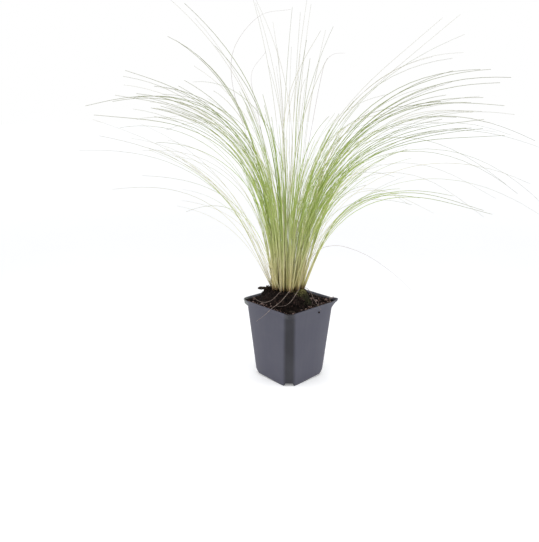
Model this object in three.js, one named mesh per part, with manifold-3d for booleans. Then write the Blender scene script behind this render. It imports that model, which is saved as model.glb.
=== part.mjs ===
// Mexican feather grass in its square plastic nursery pot.
// Millimetres, +Z up. The origin is on the pot's axis at floor level, and the pot's sides run
// along X and Y. The tussock is wider along one diagonal of the pot, from its left to its right.

import * as THREE from 'three';
import { mergeVertices } from 'three/addons/utils/BufferGeometryUtils.js';
import Module from 'manifold-3d';

const wasm = await Module();
wasm.setup();

// ---- Driving dimensions: millimetres, degrees ----

const pot = {
  height: 100,
  wall: 1.0,
  footHalf: 34.5, // half the width across the sides, at the floor
  footReach: 42.0, // from the axis to the flattened corner, at the floor
  topHalf: 42.4,
  topReach: 54.0,
  rimHalf: 45,
  rimReach: 59.5,
  cornerBlend: 2.2, // how far the side rounds into the corner strip
  baseUnder: 3.5, // underside of the base plate
  baseTop: 4.7,
  footRadius: 8, // the centre foot
  notchWidth: 10.5, // the corner strip stops short of the floor
  notchHeight: 3.3,
  drainRadius: 3.5,
  drainReach: 25,
};

const soil = {
  gap: 0.3, // to the pot's wall, and round each crown
  level: 96,
  moundTop: 114.5,
  moundRadius: 37, // at the mound's foot
  moundSlope: 14, // width of its sloping side
  moundShift: 6, // its centre lies this far to the left of the axis
};

const tussock = {
  rightward: 45, // the azimuth of the plant's right
  shift: 4.4, // its centre lies this far to the left of the axis
  squeeze: 0.7, // how much of a blade's front or back lean is kept
  sprawling: 0.05, // share of the outer tufts' blades that sprawl low
  fullness: [0.4, 0.05], // blades at the front and back as a share; what the right has more
  crownRise: 1.0, // crown above the soil
  crownDepth: 9, // crown below the soil
  crownTaper: 0.72, // width of a crown's lower end, as a share of its top
  rings: [
    { count: 1, radius: 0, crown: 3.0, turn: 0, blades: 15 },
    { count: 5, radius: 8, crown: 3.8, turn: 18, blades: 31 },
    { count: 10, radius: 16.2, crown: 4.2, turn: 0, blades: 38 },
  ],
};

// How the blades lean from upright and bend. A pair is for the plant's left and its right, unless
// it says otherwise.
const habit = {
  footLean: [2, 7], // at the foot of the outermost blades
  footPower: 1.13, // how fast that grows from the middle outwards
  tipLean: [3, 110], // of a full-grown blade's tip: least arched, most arched
  bendLeft: [0.05, 1.23], // shares of the length where the bend begins and ends
  bendRight: [-0.02, 0.95],
  length: [344, 360, 470], // full-grown: towards the front and back, to the left, to the right
  settled: 0.7, // arch of all but the innermost blades
  outArch: 0.47, // further arch of the outermost
  archPower: 0.4,
  archPlay: 0.23,
  footPlay: 3.9,
  tipPlay: 40,
  beginPlay: 0.18,
  endPlay: 0.13,
  spread: 22.7, // how far a tuft's blades fan out
  spreadPlay: 18,
};

const shoot = {
  share: 1.34, // shoots in a tuft, for each square root of its blades
  crowd: 3.31, // radius of the ring in which they stand
  play: [1.6, 2.1, 0.03, 0.03], // a blade's own part in its lean and bend
  azimuthPlay: 4.5,
  short: 0.82, // share of the blades that are not full-grown
  shortest: 0.29, // their least and greatest shares of the full length
  shortTo: 0.49,
  longFrom: 0.7, // the same for the others
  longTo: 0.97,
};

// Blades that sprawl low: each pair is the least and the greatest.
const sprawl = {
  leanFoot: [18, 27],
  leanTip: [70, 108],
  length: [200, 340],
  bend: [0.05, 1], // shares of the length where the bend begins and ends
  grown: 0.9,
};

// The blades of one bundle: the distance between their roots, and how much further each next one
// fans out and arches, and how much shorter it is.
const bundle = {
  spacing: 0.6,
  fan: 3,
  arch: 3,
  shorter: 0.07,
};

// Bundles that stand out: side of the plant (-1 is left), place of the root to that side and to
// the back, lean at foot and tip, where the bend begins and ends, full length, and blades.
const locks = [
  [-1, 4, -8, 5, 52, 0.28, 1.08, 366, 2],
  [-1, 14, -6, 9, 100, 0.3, 1.5, 345, 2],
  [-1, 10, 4, 9, 72, 0.2, 1.02, 352, 3],
  [-1, 18, 0, 2, 107, 0.14, 1.04, 395, 3],
  [-1, 14, 5, 9, 80, 0.18, 0.96, 345, 3],
  [-1, 16, -6, 9, 84, 0.17, 0.92, 350, 3],
  [-1, 19, 3, 22, 72, 0.08, 1, 316, 2],
  [-1, 19, -4, 14, 100, 0.14, 1.1, 266, 2],
  [-1, 20, -2, 23, 68, 0.18, 1.07, 238, 3],
  [-1, 4, 6, 6, 58, 0.15, 1.25, 400, 2],
  [-1, 20, 3, 10, 96, 0.12, 1.1, 270, 2],
  [-1, 6, -12, 3, 16, 0.3, 1.2, 240, 4],
  [-1, 9, -10, 5, 26, 0.3, 1.2, 250, 3],
  [-1, 3, -14, 1, 8, 0.3, 1.2, 205, 4],
  [-1, 2, 2, 3, 24, 0.3, 1.4, 362, 2],
  [-1, -1, -4, 0, 30, 0.35, 1.2, 350, 1],
  [1, 0, -13, 3, 18, 0.3, 1.2, 190, 3],
  [1, 3, -12, 6, 34, 0.3, 1.2, 225, 3],
  [1, -6, 4, 1, 12, 0.3, 1.4, 345, 2],
  [1, 2, 0, 2, 9, 0.6, 0.95, 298, 2],
  [1, -4, -3, -1, 28, 0.5, 0.95, 316, 2],
  [1, 2, 5, 12, 92, 0.14, 1.1, 390, 3],
  [1, 8, -6, 10, 92, 0.16, 0.98, 385, 3],
  [1, 10, -8, 4, 84, 0, 0.9, 350, 4],
  [1, 5, 2, 6, 53, 0.19, 1.4, 245, 2],
  [1, -2, 6, 8, 50, 0.15, 0.8, 395, 2],
  [1, 0, 7, 8, 120, 0.18, 1.45, 385, 2],
  [1, 12, 3, 9, 119, 0.1, 0.9, 345, 2],
  [1, 12, -2, 19, 107, 0.06, 0.88, 292, 2],
  [1, 12, -4, 22, 104, 0.2, 1.1, 185, 3],
  [1, 10, 4, 18, 118, 0.3, 0.87, 245, 2],
];

const blade = {
  footRadius: 0.47, // of the three-sided section's corners
  tipRadius: 0.4,
  segments: 6,
  steps: 48, // fine steps in which a spine is followed
  evenness: 0.6, // weight of the distance beside the bend where a spine's points are spaced
  rootDepth: 2.4, // how far the root is sunk in its crown
  margin: 1.1, // roots stay this far inside the crown's edge
  clearance: 0.34, // to a blade of another tuft
  kinClearance: 0.05, // to a blade of the same tuft
  swayTurn: 0.7, // how far a blade turns and bends with each try to stand clear
  swayLean: 0.35,
  tries: 90,
};

// ---- Small helpers ----

const radians = THREE.MathUtils.degToRad;
const mix = THREE.MathUtils.lerp;
const clamp = THREE.MathUtils.clamp;
const fraction = (value) => value - Math.floor(value);
const spiral = 137.508; // the golden angle, by which roots follow one another round a crown

const polar = (radius, azimuth, z = 0) =>
  new THREE.Vector3(radius * Math.cos(radians(azimuth)), radius * Math.sin(radians(azimuth)), z);

// The same points at another height.
const raised = (outline, z) => outline.map((point) => new THREE.Vector3(point.x, point.y, z));

// Closed skin over rings of equally many points, from the lowest ring to the highest, each ring
// counterclockwise from above; the end rings are closed by fans.
function skin(rings) {
  const size = rings[0].length;
  const last = (rings.length - 1) * size;
  const faces = [];
  for (let ring = 0; ring + 1 < rings.length; ring++) {
    for (let i = 0; i < size; i++) {
      const a = ring * size + i;
      const b = ring * size + ((i + 1) % size);
      faces.push(a, b, b + size, a, b + size, a + size);
    }
  }
  for (let i = 1; i + 1 < size; i++) {
    faces.push(0, i + 1, i, last, last + i, last + i + 1);
  }
  const geometry = new THREE.BufferGeometry().setFromPoints(rings.flat());
  geometry.setIndex(faces);
  return geometry;
}

function solidOf(geometry) {
  const bare = geometry.clone();
  bare.deleteAttribute('normal');
  bare.deleteAttribute('uv');
  const merged = mergeVertices(bare, 1e-4);
  return new wasm.Manifold(new wasm.Mesh({
    numProp: 3,
    vertProperties: new Float32Array(merged.attributes.position.array),
    triVerts: new Uint32Array(merged.index.array),
  }));
}

function geometryOf(solid) {
  const mesh = solid.getMesh();
  const geometry = new THREE.BufferGeometry();
  geometry.setAttribute('position', new THREE.BufferAttribute(mesh.vertProperties, 3));
  geometry.setIndex(new THREE.BufferAttribute(mesh.triVerts, 1));
  geometry.computeVertexNormals();
  return geometry;
}

const joined = (solids) => solids.reduce((whole, solid) => whole.add(solid));

// An upright round post between two heights, which may taper.
function post(topRadius, bottomRadius, bottom, top, sides) {
  const geometry = new THREE.CylinderGeometry(topRadius, bottomRadius, top - bottom, sides);
  return geometry.rotateX(Math.PI / 2).translate(0, 0, (bottom + top) / 2);
}

const piece = (name, geometry, material) => {
  const mesh = new THREE.Mesh(geometry, material);
  mesh.name = name;
  return mesh;
};

// ---- Materials ----

const materials = {
  pot: new THREE.MeshStandardMaterial({ color: '#4b4c54', roughness: 0.42, metalness: 0 }),
  soil: new THREE.MeshStandardMaterial({ color: '#2a1f1b', roughness: 0.95, metalness: 0 }),
  grass: new THREE.MeshStandardMaterial({ color: '#9db564', roughness: 0.55, metalness: 0 }),
  bark: new THREE.MeshStandardMaterial({ color: '#33241c', roughness: 0.9, metalness: 0 }),
};

// ---- Pot ----

// Six points round one corner of the pot's section, for the corner between +X and +Y. half is
// to the sides and reach is to the corner. soft is 0 for a flat strip that rounds into the sides
// and 1 for one arc.
function corner(half, reach, soft) {
  const leg = (half * Math.SQRT2 - reach) * Math.SQRT2;
  const ends = [new THREE.Vector3(half, half - leg), new THREE.Vector3(half - leg, half)];
  const alongSide = new THREE.Vector3(0, 1);
  const alongStrip = new THREE.Vector3(-1, 1).normalize();
  const before = ends[0].clone().addScaledVector(alongSide, -pot.cornerBlend);
  const after = ends[0].clone().addScaledVector(alongStrip, pot.cornerBlend);
  const middle = before.clone().add(after).multiplyScalar(0.25).addScaledVector(ends[0], 0.5);
  const first = [before, middle, after];
  const mirrored = first.map((point) => new THREE.Vector3(point.y, point.x)).reverse();
  const strip = [...first, ...mirrored];

  const radius = (half * Math.SQRT2 - reach) / (Math.SQRT2 - 1);
  const centre = half - radius;
  const onArc = (i) => polar(radius, (90 * i) / 5).add(new THREE.Vector3(centre, centre));
  return strip.map((point, i) => point.lerp(onArc(i), soft));
}

function section({ z, half, reach, soft = 0 }, inset = 0) {
  const points = [];
  for (let quarter = 0; quarter < 4; quarter++) {
    for (const point of corner(half - inset, reach - inset, soft)) {
      points.push(point.applyAxisAngle(new THREE.Vector3(0, 0, 1), (quarter * Math.PI) / 2));
    }
  }
  return raised(points, z);
}

// The plain taper of the walls, with what the rim adds to it.
const wallAt = (z, widen = 0, flare = 0, soft = 0) => ({
  z,
  half: mix(pot.footHalf, pot.topHalf, z / pot.height) + widen,
  reach: mix(pot.footReach, pot.topReach, z / pot.height) + flare,
  soft,
});

// The corners flare out into ears below the rim, and the sides carry only a thin lip.
const rimLevels = [
  wallAt(89),
  wallAt(93.5, 0, 1.5, 0.5),
  wallAt(96.5, 0.1, 3.9, 0.9),
  wallAt(98.3, 0.5, 5.0, 1),
  { z: 99, half: pot.rimHalf, reach: pot.rimReach, soft: 1 },
];
const rimTop = { ...rimLevels.at(-1), z: pot.height };

function makePot() {
  const outside = [wallAt(0), ...rimLevels, rimTop].map((level) => section(level));
  const inside = [wallAt(pot.baseTop), ...rimLevels, { ...rimTop, z: pot.height + 1 }]
    .map((level) => section(level, pot.wall));
  const under = [wallAt(-1), wallAt(pot.baseUnder)].map((level) => section(level, pot.wall));

  const notchReach = 16;
  const cuts = [solidOf(skin(inside)), solidOf(skin(under))];
  for (const azimuth of [45, 135, 225, 315]) {
    const notch = new THREE.BoxGeometry(notchReach, pot.notchWidth, 2 * pot.notchHeight)
      .translate(pot.footReach, 0, 0)
      .rotateZ(radians(azimuth));
    cuts.push(solidOf(notch));
    for (const turn of [0, 45]) {
      const place = polar(pot.drainReach, azimuth + turn);
      const drain = post(pot.drainRadius, pot.drainRadius, pot.baseUnder - 1, pot.baseTop + 1, 10);
      cuts.push(solidOf(drain.translate(place.x, place.y, 0)));
    }
  }
  const foot = post(pot.footRadius, pot.footRadius, 0, pot.baseTop - 0.5, 16);
  const shell = cuts.reduce((body, cut) => body.subtract(cut), solidOf(skin(outside)));
  return geometryOf(shell.add(solidOf(foot)));
}

// ---- Soil ----

const leftward = tussock.rightward + 180;
const moundCentre = polar(soil.moundShift, leftward);

// Height of the soil's surface: level by the walls, with the root ball's mound in the middle.
function soilTop(x, y) {
  const away = Math.hypot(x - moundCentre.x, y - moundCentre.y) / soil.moundRadius;
  const shoulder = 1 - soil.moundSlope / soil.moundRadius;
  const rise = 1 - THREE.MathUtils.smoothstep(away, shoulder, 1);
  const dome = 1 - 0.1 * away ** 2;
  return soil.level + (soil.moundTop - soil.level) * rise * dome;
}

function makeSoil(crowns) {
  const inset = pot.wall + soil.gap;
  const bottom = pot.baseTop + soil.gap;
  const side = [wallAt(bottom), wallAt(89), wallAt(93.5, 0, 1.5, 0.5), wallAt(soil.level, 0, 3.3, 0.8)]
    .map((level) => section(level, inset));
  const brim = side.at(-1);
  const shares = [0.88, 0.78, 0.69, 0.6, 0.51, 0.4, 0.22];
  const surface = shares.map((share) => brim.map((point) => {
    const [x, y] = [point.x * share, point.y * share];
    return new THREE.Vector3(x, y, soilTop(x, y));
  }));
  const body = solidOf(skin([...side, ...surface]));
  const holes = crowns.map(({ centre, radius, top }) => {
    const deep = top - tussock.crownRise - tussock.crownDepth - soil.gap;
    const low = radius * tussock.crownTaper + soil.gap * 1.4;
    const wide = radius + soil.gap * 1.4;
    const taper = post(wide, low, deep, top - tussock.crownRise, 10);
    const open = post(wide, wide, top - tussock.crownRise - 0.01, top + 20, 10);
    return joined([taper, open].map(solidOf)).translate(centre.x, centre.y, 0);
  });
  return geometryOf(holes.reduce((whole, hole) => whole.subtract(hole), body));
}

// ---- Grass ----

// A blade rises from its root, and its lean from upright grows smoothly from leanFoot to leanTip
// between two shares of its full length. grown is the share of that length which it has reached.
function spine({ root, azimuth, leanFoot, leanTip, begins, ends, length, grown }) {
  const outward = polar(1, azimuth);
  const fine = [root.clone()];
  const bends = [0];
  for (let i = 0; i < blade.steps; i++) {
    const share = ((i + 0.5) / blade.steps) * grown;
    const bend = THREE.MathUtils.smoothstep(share, begins, ends);
    const lean = radians(mix(leanFoot, leanTip, bend));
    const step = outward.clone().multiplyScalar(Math.sin(lean)).setZ(Math.cos(lean));
    fine.push(fine[i].clone().addScaledVector(step, (length * grown) / blade.steps));
    bends.push(bend);
  }
  // The points lie at even steps of the distance and the bend together.
  const bent = (i) => bends[i] - bends[Math.min(i, 1)];
  const progress = bends.map((_, i) => bent(i) + (blade.evenness * i) / blade.steps);
  const segments = Math.max(3, Math.ceil(blade.segments * Math.sqrt(grown)));
  const points = [root.clone()];
  for (let k = 1; k < segments; k++) {
    const wanted = (progress.at(-1) * k) / segments;
    points.push(fine[progress.findIndex((value) => value >= wanted)]);
  }
  return [...points, fine.at(-1)];
}

// The three-sided, tapering body along a spine. Its sides keep their turn from one point to the
// next, so that it doesn't twist.
function bladeSkin(points, footRadius = blade.footRadius) {
  const reach = points.at(-1).clone().sub(points[0]);
  let across = new THREE.Vector3(-reach.y, reach.x, 0);
  const rings = points.map((point, i) => {
    const ahead = points[Math.min(i + 1, points.length - 1)];
    const behind = points[Math.max(i - 1, 0)];
    const along = ahead.clone().sub(behind).normalize();
    across = across.clone().addScaledVector(along, -across.dot(along)).normalize();
    const up = along.clone().cross(across);
    const radius = mix(footRadius, blade.tipRadius, i / (points.length - 1));
    return [0, 120, 240].map((turn) => point.clone()
      .addScaledVector(across, radius * Math.cos(radians(turn)))
      .addScaledVector(up, radius * Math.sin(radians(turn))));
  });
  return skin(rings);
}

// Least distance between the segments from p0 to p1 and from q0 to q1.
function segmentGap(p0, p1, q0, q1) {
  const u = p1.clone().sub(p0);
  const v = q1.clone().sub(q0);
  const w = p0.clone().sub(q0);
  const [a, b, c, d, e] = [u.dot(u), u.dot(v), v.dot(v), u.dot(w), v.dot(w)];
  const spread = a * c - b * b;
  let s = spread > 1e-9 ? clamp((b * e - c * d) / spread, 0, 1) : 0;
  let t = (b * s + e) / c;
  if (t < 0 || t > 1) {
    t = clamp(t, 0, 1);
    s = clamp((b * t - d) / a, 0, 1);
  }
  return w.addScaledVector(u, s).addScaledVector(v, -t).length();
}

function spineGap(one, other) {
  let least = Infinity;
  for (let i = 0; i + 1 < one.length; i++) {
    for (let j = 0; j + 1 < other.length; j++) {
      least = Math.min(least, segmentGap(one[i], one[i + 1], other[j], other[j + 1]));
    }
  }
  return least;
}

// Azimuth of a lean, drawn towards the plant's left and right.
function squeezed(azimuth) {
  const turned = radians(azimuth - tussock.rightward);
  const lean = Math.atan2(Math.sin(turned) * tussock.squeeze, Math.cos(turned));
  return THREE.MathUtils.radToDeg(lean) + tussock.rightward;
}

// Where each tuft stands, and how many blades it has: most to the left and right.
function placeTufts() {
  const centre = polar(tussock.shift, leftward);
  const tufts = [];
  for (const ring of tussock.rings) {
    for (let i = 0; i < ring.count; i++) {
      const azimuth = tussock.rightward + ring.turn + (360 * i) / ring.count;
      const place = polar(ring.radius, azimuth).add(centre);
      const toSide = Math.cos(radians(azimuth - tussock.rightward));
      const [least, more] = tussock.fullness;
      const fullness = ring.count === 1 ? 1 : mix(least, 1, toSide ** 2) + more * toSide;
      tufts.push({
        azimuth,
        ring,
        centre: place,
        radius: ring.crown,
        top: soilTop(place.x, place.y) + tussock.crownRise,
        blades: Math.round(ring.blades * fullness),
      });
    }
  }
  return tufts;
}

// The lean and bend that the blades of one shoot share. Shoots further out in the tussock lean
// and arch more, and those to the left stay upright for longer before they arch. Each shoot
// varies by its own low-discrepancy draws.
function shootShape(tuft, offset, serial) {
  const draw = (step) => fraction(0.5 + serial * step) - 0.5;
  const outermost = tussock.rings.at(-1).radius + tussock.rings.at(-1).crown;
  const outwards = tuft.ring.radius + offset.dot(polar(1, tuft.azimuth));
  const outness = clamp(outwards / outermost, 0, 1);
  const across = offset.dot(polar(1, tuft.azimuth + 90)) / tuft.radius;
  const fan = habit.spread * across + habit.spreadPlay * draw(0.5698403);
  const turn = THREE.MathUtils.radToDeg(Math.atan2(offset.y, offset.x));
  const azimuth = squeezed(tuft.ring.count === 1 ? turn : tuft.azimuth + fan);
  const side = Math.cos(radians(azimuth - tussock.rightward));
  const toRight = ([left, right]) => mix(left, right, (side + 1) / 2);
  const settled = habit.settled * THREE.MathUtils.smoothstep(outness, 0.1, 0.5);
  const arch = clamp(settled + habit.outArch * outness + habit.archPlay * draw(0.7548777), 0, 1);
  return {
    azimuth,
    leanFoot: toRight(habit.footLean) * outness ** habit.footPower + habit.footPlay * draw(0.2168453),
    leanTip: mix(...habit.tipLean, arch ** habit.archPower) + habit.tipPlay * draw(0.3247179),
    begins: toRight([habit.bendLeft[0], habit.bendRight[0]]) + habit.beginPlay * draw(0.8191725),
    ends: toRight([habit.bendLeft[1], habit.bendRight[1]]) + habit.endPlay * draw(0.6180340),
    length: mix(habit.length[0], toRight(habit.length.slice(1)), side ** 2),
  };
}

// A tuft's shoots stand in a sunflower's spiral.
function placeShoots(tuft, firstSerial) {
  const count = Math.max(3, Math.round(Math.sqrt(tuft.blades) * shoot.share));
  const crowd = tuft.ring.count === 1 ? tuft.radius : shoot.crowd;
  return Array.from({ length: count }, (_, i) => {
    const offset = polar(crowd * Math.sqrt((i + 0.5) / count), i * spiral + tuft.azimuth);
    const scaled = offset.clone().multiplyScalar(tuft.radius / crowd);
    return { offset, shape: shootShape(tuft, scaled, firstSerial + i) };
  });
}

// One blade of a tuft, in the shoot nearest to its root. It keeps to the shoot's lean and bend with
// some play, and grows to its own share of the full length. A few of the outermost sprawl low.
function growBlade(tuft, shoots, index, serial) {
  const draw = (step) => fraction(0.5 + serial * step);
  const play = (step) => 3 * (draw(step) - 0.5);
  const turn = index * spiral + tuft.azimuth;
  const offset = polar((tuft.radius - blade.margin) * Math.sqrt((index + 0.5) / tuft.blades), turn);
  const root = tuft.centre.clone().add(offset).setZ(tuft.top - blade.rootDepth);
  const distances = shoots.map((other) => other.offset.distanceTo(offset));
  const { shape } = shoots[distances.indexOf(Math.min(...distances))];
  if (tuft.ring === tussock.rings.at(-1) && draw(0.3819660) < tussock.sprawling) {
    return {
      root,
      azimuth: shape.azimuth,
      leanFoot: mix(...sprawl.leanFoot, draw(0.2168453)),
      leanTip: mix(...sprawl.leanTip, draw(0.3247179)),
      begins: sprawl.bend[0],
      ends: sprawl.bend[1],
      length: mix(...sprawl.length, draw(0.6180340)),
      grown: sprawl.grown,
    };
  }
  const age = draw(0.6180340);
  const young = mix(shoot.shortest, shoot.shortTo, age / shoot.short);
  const old = mix(shoot.longFrom, shoot.longTo, (age - shoot.short) / (1 - shoot.short));
  return {
    root,
    azimuth: shape.azimuth + shoot.azimuthPlay * play(0.5698403),
    leanFoot: shape.leanFoot + shoot.play[0] * play(0.2168453),
    leanTip: shape.leanTip + shoot.play[1] * play(0.3247179),
    begins: shape.begins + shoot.play[2] * play(0.8191725),
    ends: shape.ends + shoot.play[3] * play(0.8191725),
    length: shape.length,
    grown: age < shoot.short ? young : old,
  };
}

// The blades of a bundle, and the tuft that they grow from: the one whose crown is nearest.
function growLock([side, aside, back, leanFoot, leanTip, begins, ends, length, count], tufts) {
  const azimuth = tussock.rightward + (side > 0 ? 0 : 180);
  const middle = polar(aside, azimuth).add(polar(back, tussock.rightward + 90));
  const distances = tufts.map((tuft) => tuft.centre.distanceTo(middle));
  const tuft = tufts[distances.indexOf(Math.min(...distances))];
  const reach = tuft.radius - blade.margin;
  const offset = middle.sub(tuft.centre).clampLength(0, reach - bundle.spacing);
  const foot = tuft.centre.clone().add(offset).setZ(tuft.top - blade.rootDepth);
  return Array.from({ length: count }, (_, i) => ({
    tuft,
    root: polar(bundle.spacing * Math.sqrt(i), i * spiral + azimuth).add(foot),
    azimuth: azimuth + bundle.fan * (i % 2 ? 1 : -1) * Math.ceil(i / 2),
    leanFoot,
    leanTip: leanTip + bundle.arch * i,
    begins,
    ends,
    length,
    grown: 1 - bundle.shorter * i,
  }));
}

// Old thin stems that hang from the crowns over the soil and the pot's rim: the tuft that each
// grows from, and points on its way, from its root to its tip.
const strays = [
  {
    tuft: 14, // over the rim and down in front of the left wall
    way: [[12, -12, 112.5], [16, -17, 117.5], [18, -25, 114], [19.3, -34, 109.6], [19.2, -42, 106.4],
      [16.5, -48.6, 102.6], [8, -49.4, 95.8], [-2, -49.5, 87.8], [-12, -49.5, 80]],
  },
  {
    tuft: 13, // towards the left ear of the rim
    way: [[5, -19, 112.5], [5.6, -23, 115.3], [6.4, -30, 112], [4, -36, 107.3], [-2.5, -38.5, 104],
      [-11, -38.4, 102.3], [-21, -37, 102.2], [-31, -35, 103]],
  },
  {
    tuft: 15, // round the front of the mound
    way: [[14.6, -2, 112.5], [20.5, -3.5, 119], [23.8, -10, 118.4], [25.8, -17, 114.4], [26.4, -24, 109],
      [24.5, -31, 105], [18.5, -35, 103], [11, -35.6, 102.4]],
  },
  {
    tuft: 6, // over the right wall's rim
    way: [[9.8, 9, 112.5], [16, 12, 116], [24, 12.6, 112], [32.5, 9.4, 106], [41, 5.6, 103],
      [46.6, 3, 101.6], [49, 5.5, 96]],
  },
];

function straySpine({ way }) {
  const curve = new THREE.CatmullRomCurve3(way.map((point) => new THREE.Vector3(...point)));
  return curve.getPoints(way.length + 2);
}

// Blades are grown in turn, the bundles first. One that comes too near an earlier one is turned and
// bent a little, further with each try, until it is clear.
function growTufts(tufts) {
  const grown = strays.map((stray) => ({ points: straySpine(stray), tuft: tufts[stray.tuft] }));
  const place = (shape, tuft) => {
    for (let attempt = 0; attempt < blade.tries; attempt++) {
      const sway = Math.ceil(attempt / 2) * (attempt % 2 ? 1 : -1);
      const points = spine({
        ...shape,
        azimuth: shape.azimuth + sway * blade.swayTurn,
        leanTip: shape.leanTip + sway * blade.swayLean,
      });
      const body = blade.footRadius + blade.tipRadius;
      const clear = grown.every((other) => {
        const gap = other.tuft === tuft ? blade.kinClearance : blade.clearance;
        return spineGap(points, other.points) > body + gap;
      });
      if (clear) {
        grown.push({ points, tuft });
        tuft.spines.push(points);
        return;
      }
    }
  };
  for (const tuft of tufts) {
    tuft.spines = [];
  }
  for (const { tuft, ...shape } of locks.flatMap((lock) => growLock(lock, tufts))) {
    place(shape, tuft);
  }
  let shootSerial = 1;
  let serial = 1;
  for (const tuft of tufts) {
    const shoots = placeShoots(tuft, shootSerial);
    shootSerial += shoots.length;
    for (let index = 0; index < tuft.blades; index++) {
      place(growBlade(tuft, shoots, index, serial), tuft);
      serial++;
    }
  }
}

function makeTuft(tuft) {
  const low = tuft.top - tussock.crownRise - tussock.crownDepth;
  const crown = post(tuft.radius, tuft.radius * tussock.crownTaper, low, tuft.top, 10);
  const blades = tuft.spines.map((points) => solidOf(bladeSkin(points)));
  const hanging = strays.filter((stray) => tufts[stray.tuft] === tuft)
    .map((stray) => solidOf(bladeSkin(straySpine(stray), blade.tipRadius)));
  const root = solidOf(crown.translate(tuft.centre.x, tuft.centre.y, 0));
  return geometryOf(joined([root, ...blades, ...hanging]));
}

// ---- Bark ----

// Flat scraps: the outline of each from above, its thickness and where it lies. The first, on the
// left of the mound, has an upright splinter.
const scraps = [
  { outline: [[-6.6, -1.2], [-2, -2.9], [3, -2.5], [6.4, -3], [6, 1.6], [1.5, 2.8], [-4, 2.1]],
    thickness: 2.2, place: polar(34, 228, 114.3), turn: 44, splinter: 3.6 },
  { outline: [[-4, -2], [0, -2.8], [4.4, -1.2], [3.2, 2.2], [-1.5, 2.6]],
    thickness: 1.4, place: new THREE.Vector3(31, -27, 96.4), turn: 20 },
  { outline: [[-3.4, -1.6], [2.2, -2.2], [3.8, 0.8], [0.4, 2.4], [-3, 1.4]],
    thickness: 1.2, place: new THREE.Vector3(36, 10, 96.4), turn: 100 },
];

function makeScrap({ outline, thickness, place, turn, splinter }) {
  const shape = new THREE.Shape(outline.map(([x, y]) => new THREE.Vector2(x, y)));
  const flat = new THREE.ExtrudeGeometry(shape, { depth: thickness, bevelEnabled: false });
  let scrap = solidOf(flat);
  if (splinter) {
    const spike = post(0.5, 1.1, thickness / 2, thickness + splinter, 5);
    scrap = scrap.add(solidOf(spike.translate(4.6, 0.4, 0)));
  }
  const geometry = geometryOf(scrap);
  return geometry.rotateZ(radians(turn)).translate(place.x, place.y, place.z);
}

// ---- The whole plant ----

const tufts = placeTufts();
growTufts(tufts);

const plant = new THREE.Group();
plant.add(piece('pot', makePot(), materials.pot));
plant.add(piece('soil', makeSoil(tufts), materials.soil));
tufts.forEach((tuft, i) => {
  plant.add(piece(`tuft_${String(i + 1).padStart(2, '0')}`, makeTuft(tuft), materials.grass));
});
scraps.forEach((scrap, i) => {
  plant.add(piece(`bark_${i + 1}`, makeScrap(scrap), materials.bark));
});

export default plant;
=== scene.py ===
import bpy
import numpy as np
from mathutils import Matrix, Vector


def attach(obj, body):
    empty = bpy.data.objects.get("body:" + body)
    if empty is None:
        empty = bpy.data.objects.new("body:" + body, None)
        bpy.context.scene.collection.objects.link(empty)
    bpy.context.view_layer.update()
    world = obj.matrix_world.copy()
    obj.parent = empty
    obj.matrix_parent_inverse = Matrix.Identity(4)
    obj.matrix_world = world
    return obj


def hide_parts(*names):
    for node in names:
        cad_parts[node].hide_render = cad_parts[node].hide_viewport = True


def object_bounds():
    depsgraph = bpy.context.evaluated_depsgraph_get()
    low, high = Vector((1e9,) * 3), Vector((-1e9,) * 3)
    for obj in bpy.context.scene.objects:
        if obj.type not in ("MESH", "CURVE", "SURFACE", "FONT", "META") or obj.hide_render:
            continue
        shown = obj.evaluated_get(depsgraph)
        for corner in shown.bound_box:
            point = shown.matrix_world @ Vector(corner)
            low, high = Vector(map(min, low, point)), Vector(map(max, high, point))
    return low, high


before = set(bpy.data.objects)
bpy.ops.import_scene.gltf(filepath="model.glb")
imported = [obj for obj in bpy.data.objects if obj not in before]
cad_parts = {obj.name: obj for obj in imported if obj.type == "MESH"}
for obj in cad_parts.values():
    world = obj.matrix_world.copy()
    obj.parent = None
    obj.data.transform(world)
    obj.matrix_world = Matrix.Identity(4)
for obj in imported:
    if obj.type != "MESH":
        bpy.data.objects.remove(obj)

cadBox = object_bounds()
scene = bpy.context.scene
mm = 0.001  # lengths in the dictionaries are millimetres, angles are degrees
print("frame loaded")


def mix(a, b, t):
    return a + (b - a) * t


def smoothStep(x, low, high):
    t = np.clip((x - low) / (high - low), 0, 1)
    return t * t * (3 - 2 * t)


def weyl(serial, step):  # evenly spread draws in 0..1
    return np.mod(0.5 + np.asarray(serial, float) * step, 1.0)


def polar(radius, azimuth):  # x and y at a distance and an azimuth
    turn = np.radians(azimuth)
    return np.stack([radius * np.cos(turn), radius * np.sin(turn)], axis=-1)


def latticeNoise(points, scale, seed=0):
    # value noise in -1..1, from a hash at each corner of a cube lattice
    q = points / scale
    cell = np.floor(q).astype(np.int64)
    part = q - cell
    part = part * part * (3 - 2 * part)
    total = np.zeros(q.shape[:-1])
    for corner in range(8):
        step = np.array([corner & 1, corner >> 1 & 1, corner >> 2 & 1])
        key = (cell + step) @ np.array([73856093, 19349663, 83492791]) + seed * 1013
        value = np.mod(np.sin(np.mod(key, 1000003) * 12.9898) * 43758.5453, 1.0)
        weight = np.prod(np.where(step == 1, part, 1 - part), axis=-1)
        total += value * weight
    return 2 * total - 1


def unit(vectors):
    return vectors / np.maximum(np.linalg.norm(vectors, axis=-1, keepdims=True), 1e-9)


def gridFaces(rows, columns):  # quads of a grid whose columns wrap round
    row, column = np.meshgrid(np.arange(rows - 1), np.arange(columns), indexing="ij")
    after = (column + 1) % columns
    quads = np.stack([row * columns + column, row * columns + after,
                      (row + 1) * columns + after, (row + 1) * columns + column], axis=-1)
    return quads.reshape(-1, 4)


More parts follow.
